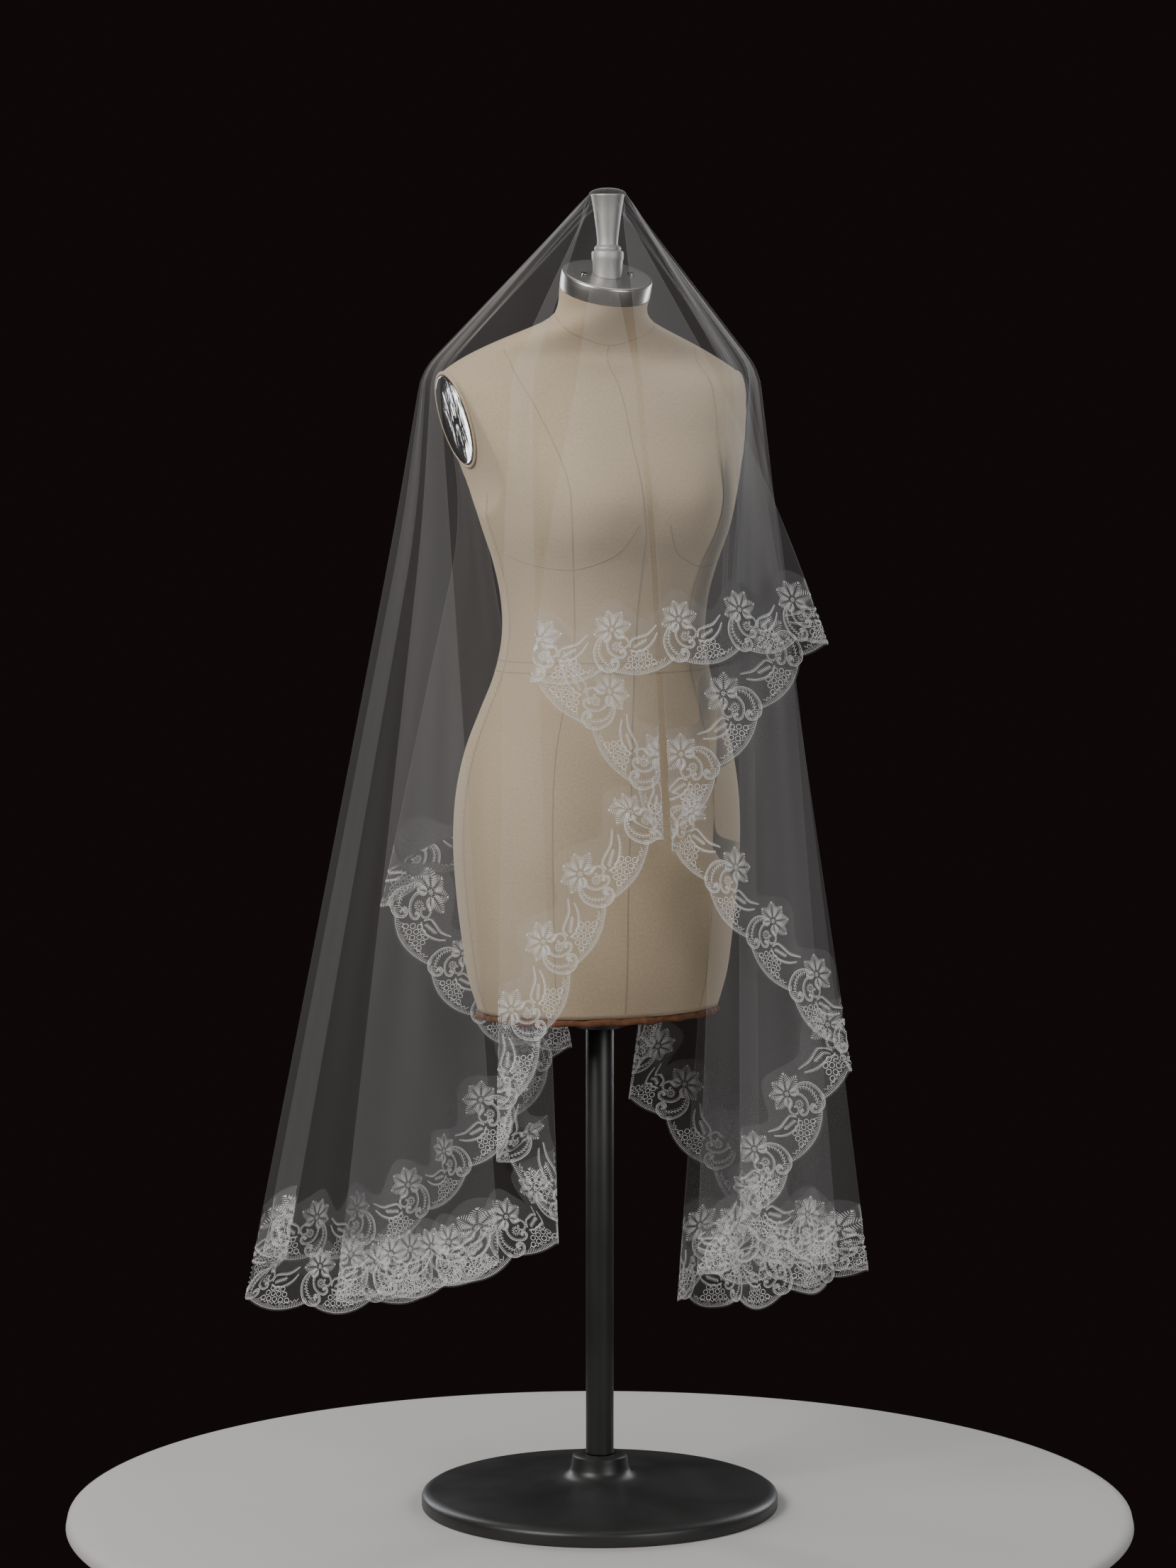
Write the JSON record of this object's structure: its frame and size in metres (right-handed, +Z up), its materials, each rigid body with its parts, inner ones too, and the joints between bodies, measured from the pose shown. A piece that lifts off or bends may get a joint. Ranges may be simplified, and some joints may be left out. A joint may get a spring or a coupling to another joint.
{
  "type": "bridal veil on a limbless dress form and stand",
  "caption": "Sheer single-layer tulle veil with a scalloped lace edging, draped in deep folds from the finial of a limbless dress form on a round stand.",
  "frame": {"origin": "centre of the underside of the stand's base, on the floor", "axes": "+Z up, the form faces -Y, +X is the form's left"},
  "size_m": [0.6481, 0.4567, 1.506],
  "materials": {
    "tulle": "sheer fine hexagon net, matt",
    "lace": "embroidered net, soft sheen of the thread",
    "linen": "plain woven cover, matt",
    "brushed_steel": "brushed",
    "polished_steel": "polished",
    "finial_metal": "turned and brushed",
    "board_wood": "raw",
    "black_paint": "satin"
  },
  "bodies": {
    "root": {"tulle": "tulle", "lace_edging": "lace", "torso": "linen", "neck_cap": "brushed_steel", "cap_screw_right": "polished_steel", "cap_screw_left": "polished_steel", "finial": "finial_metal", "arm_plate_right": "polished_steel", "arm_plate_left": "polished_steel", "foot_board": "board_wood", "flange": "black_paint", "pole": "black_paint", "base": "black_paint"}
  },
  "joints": []
}
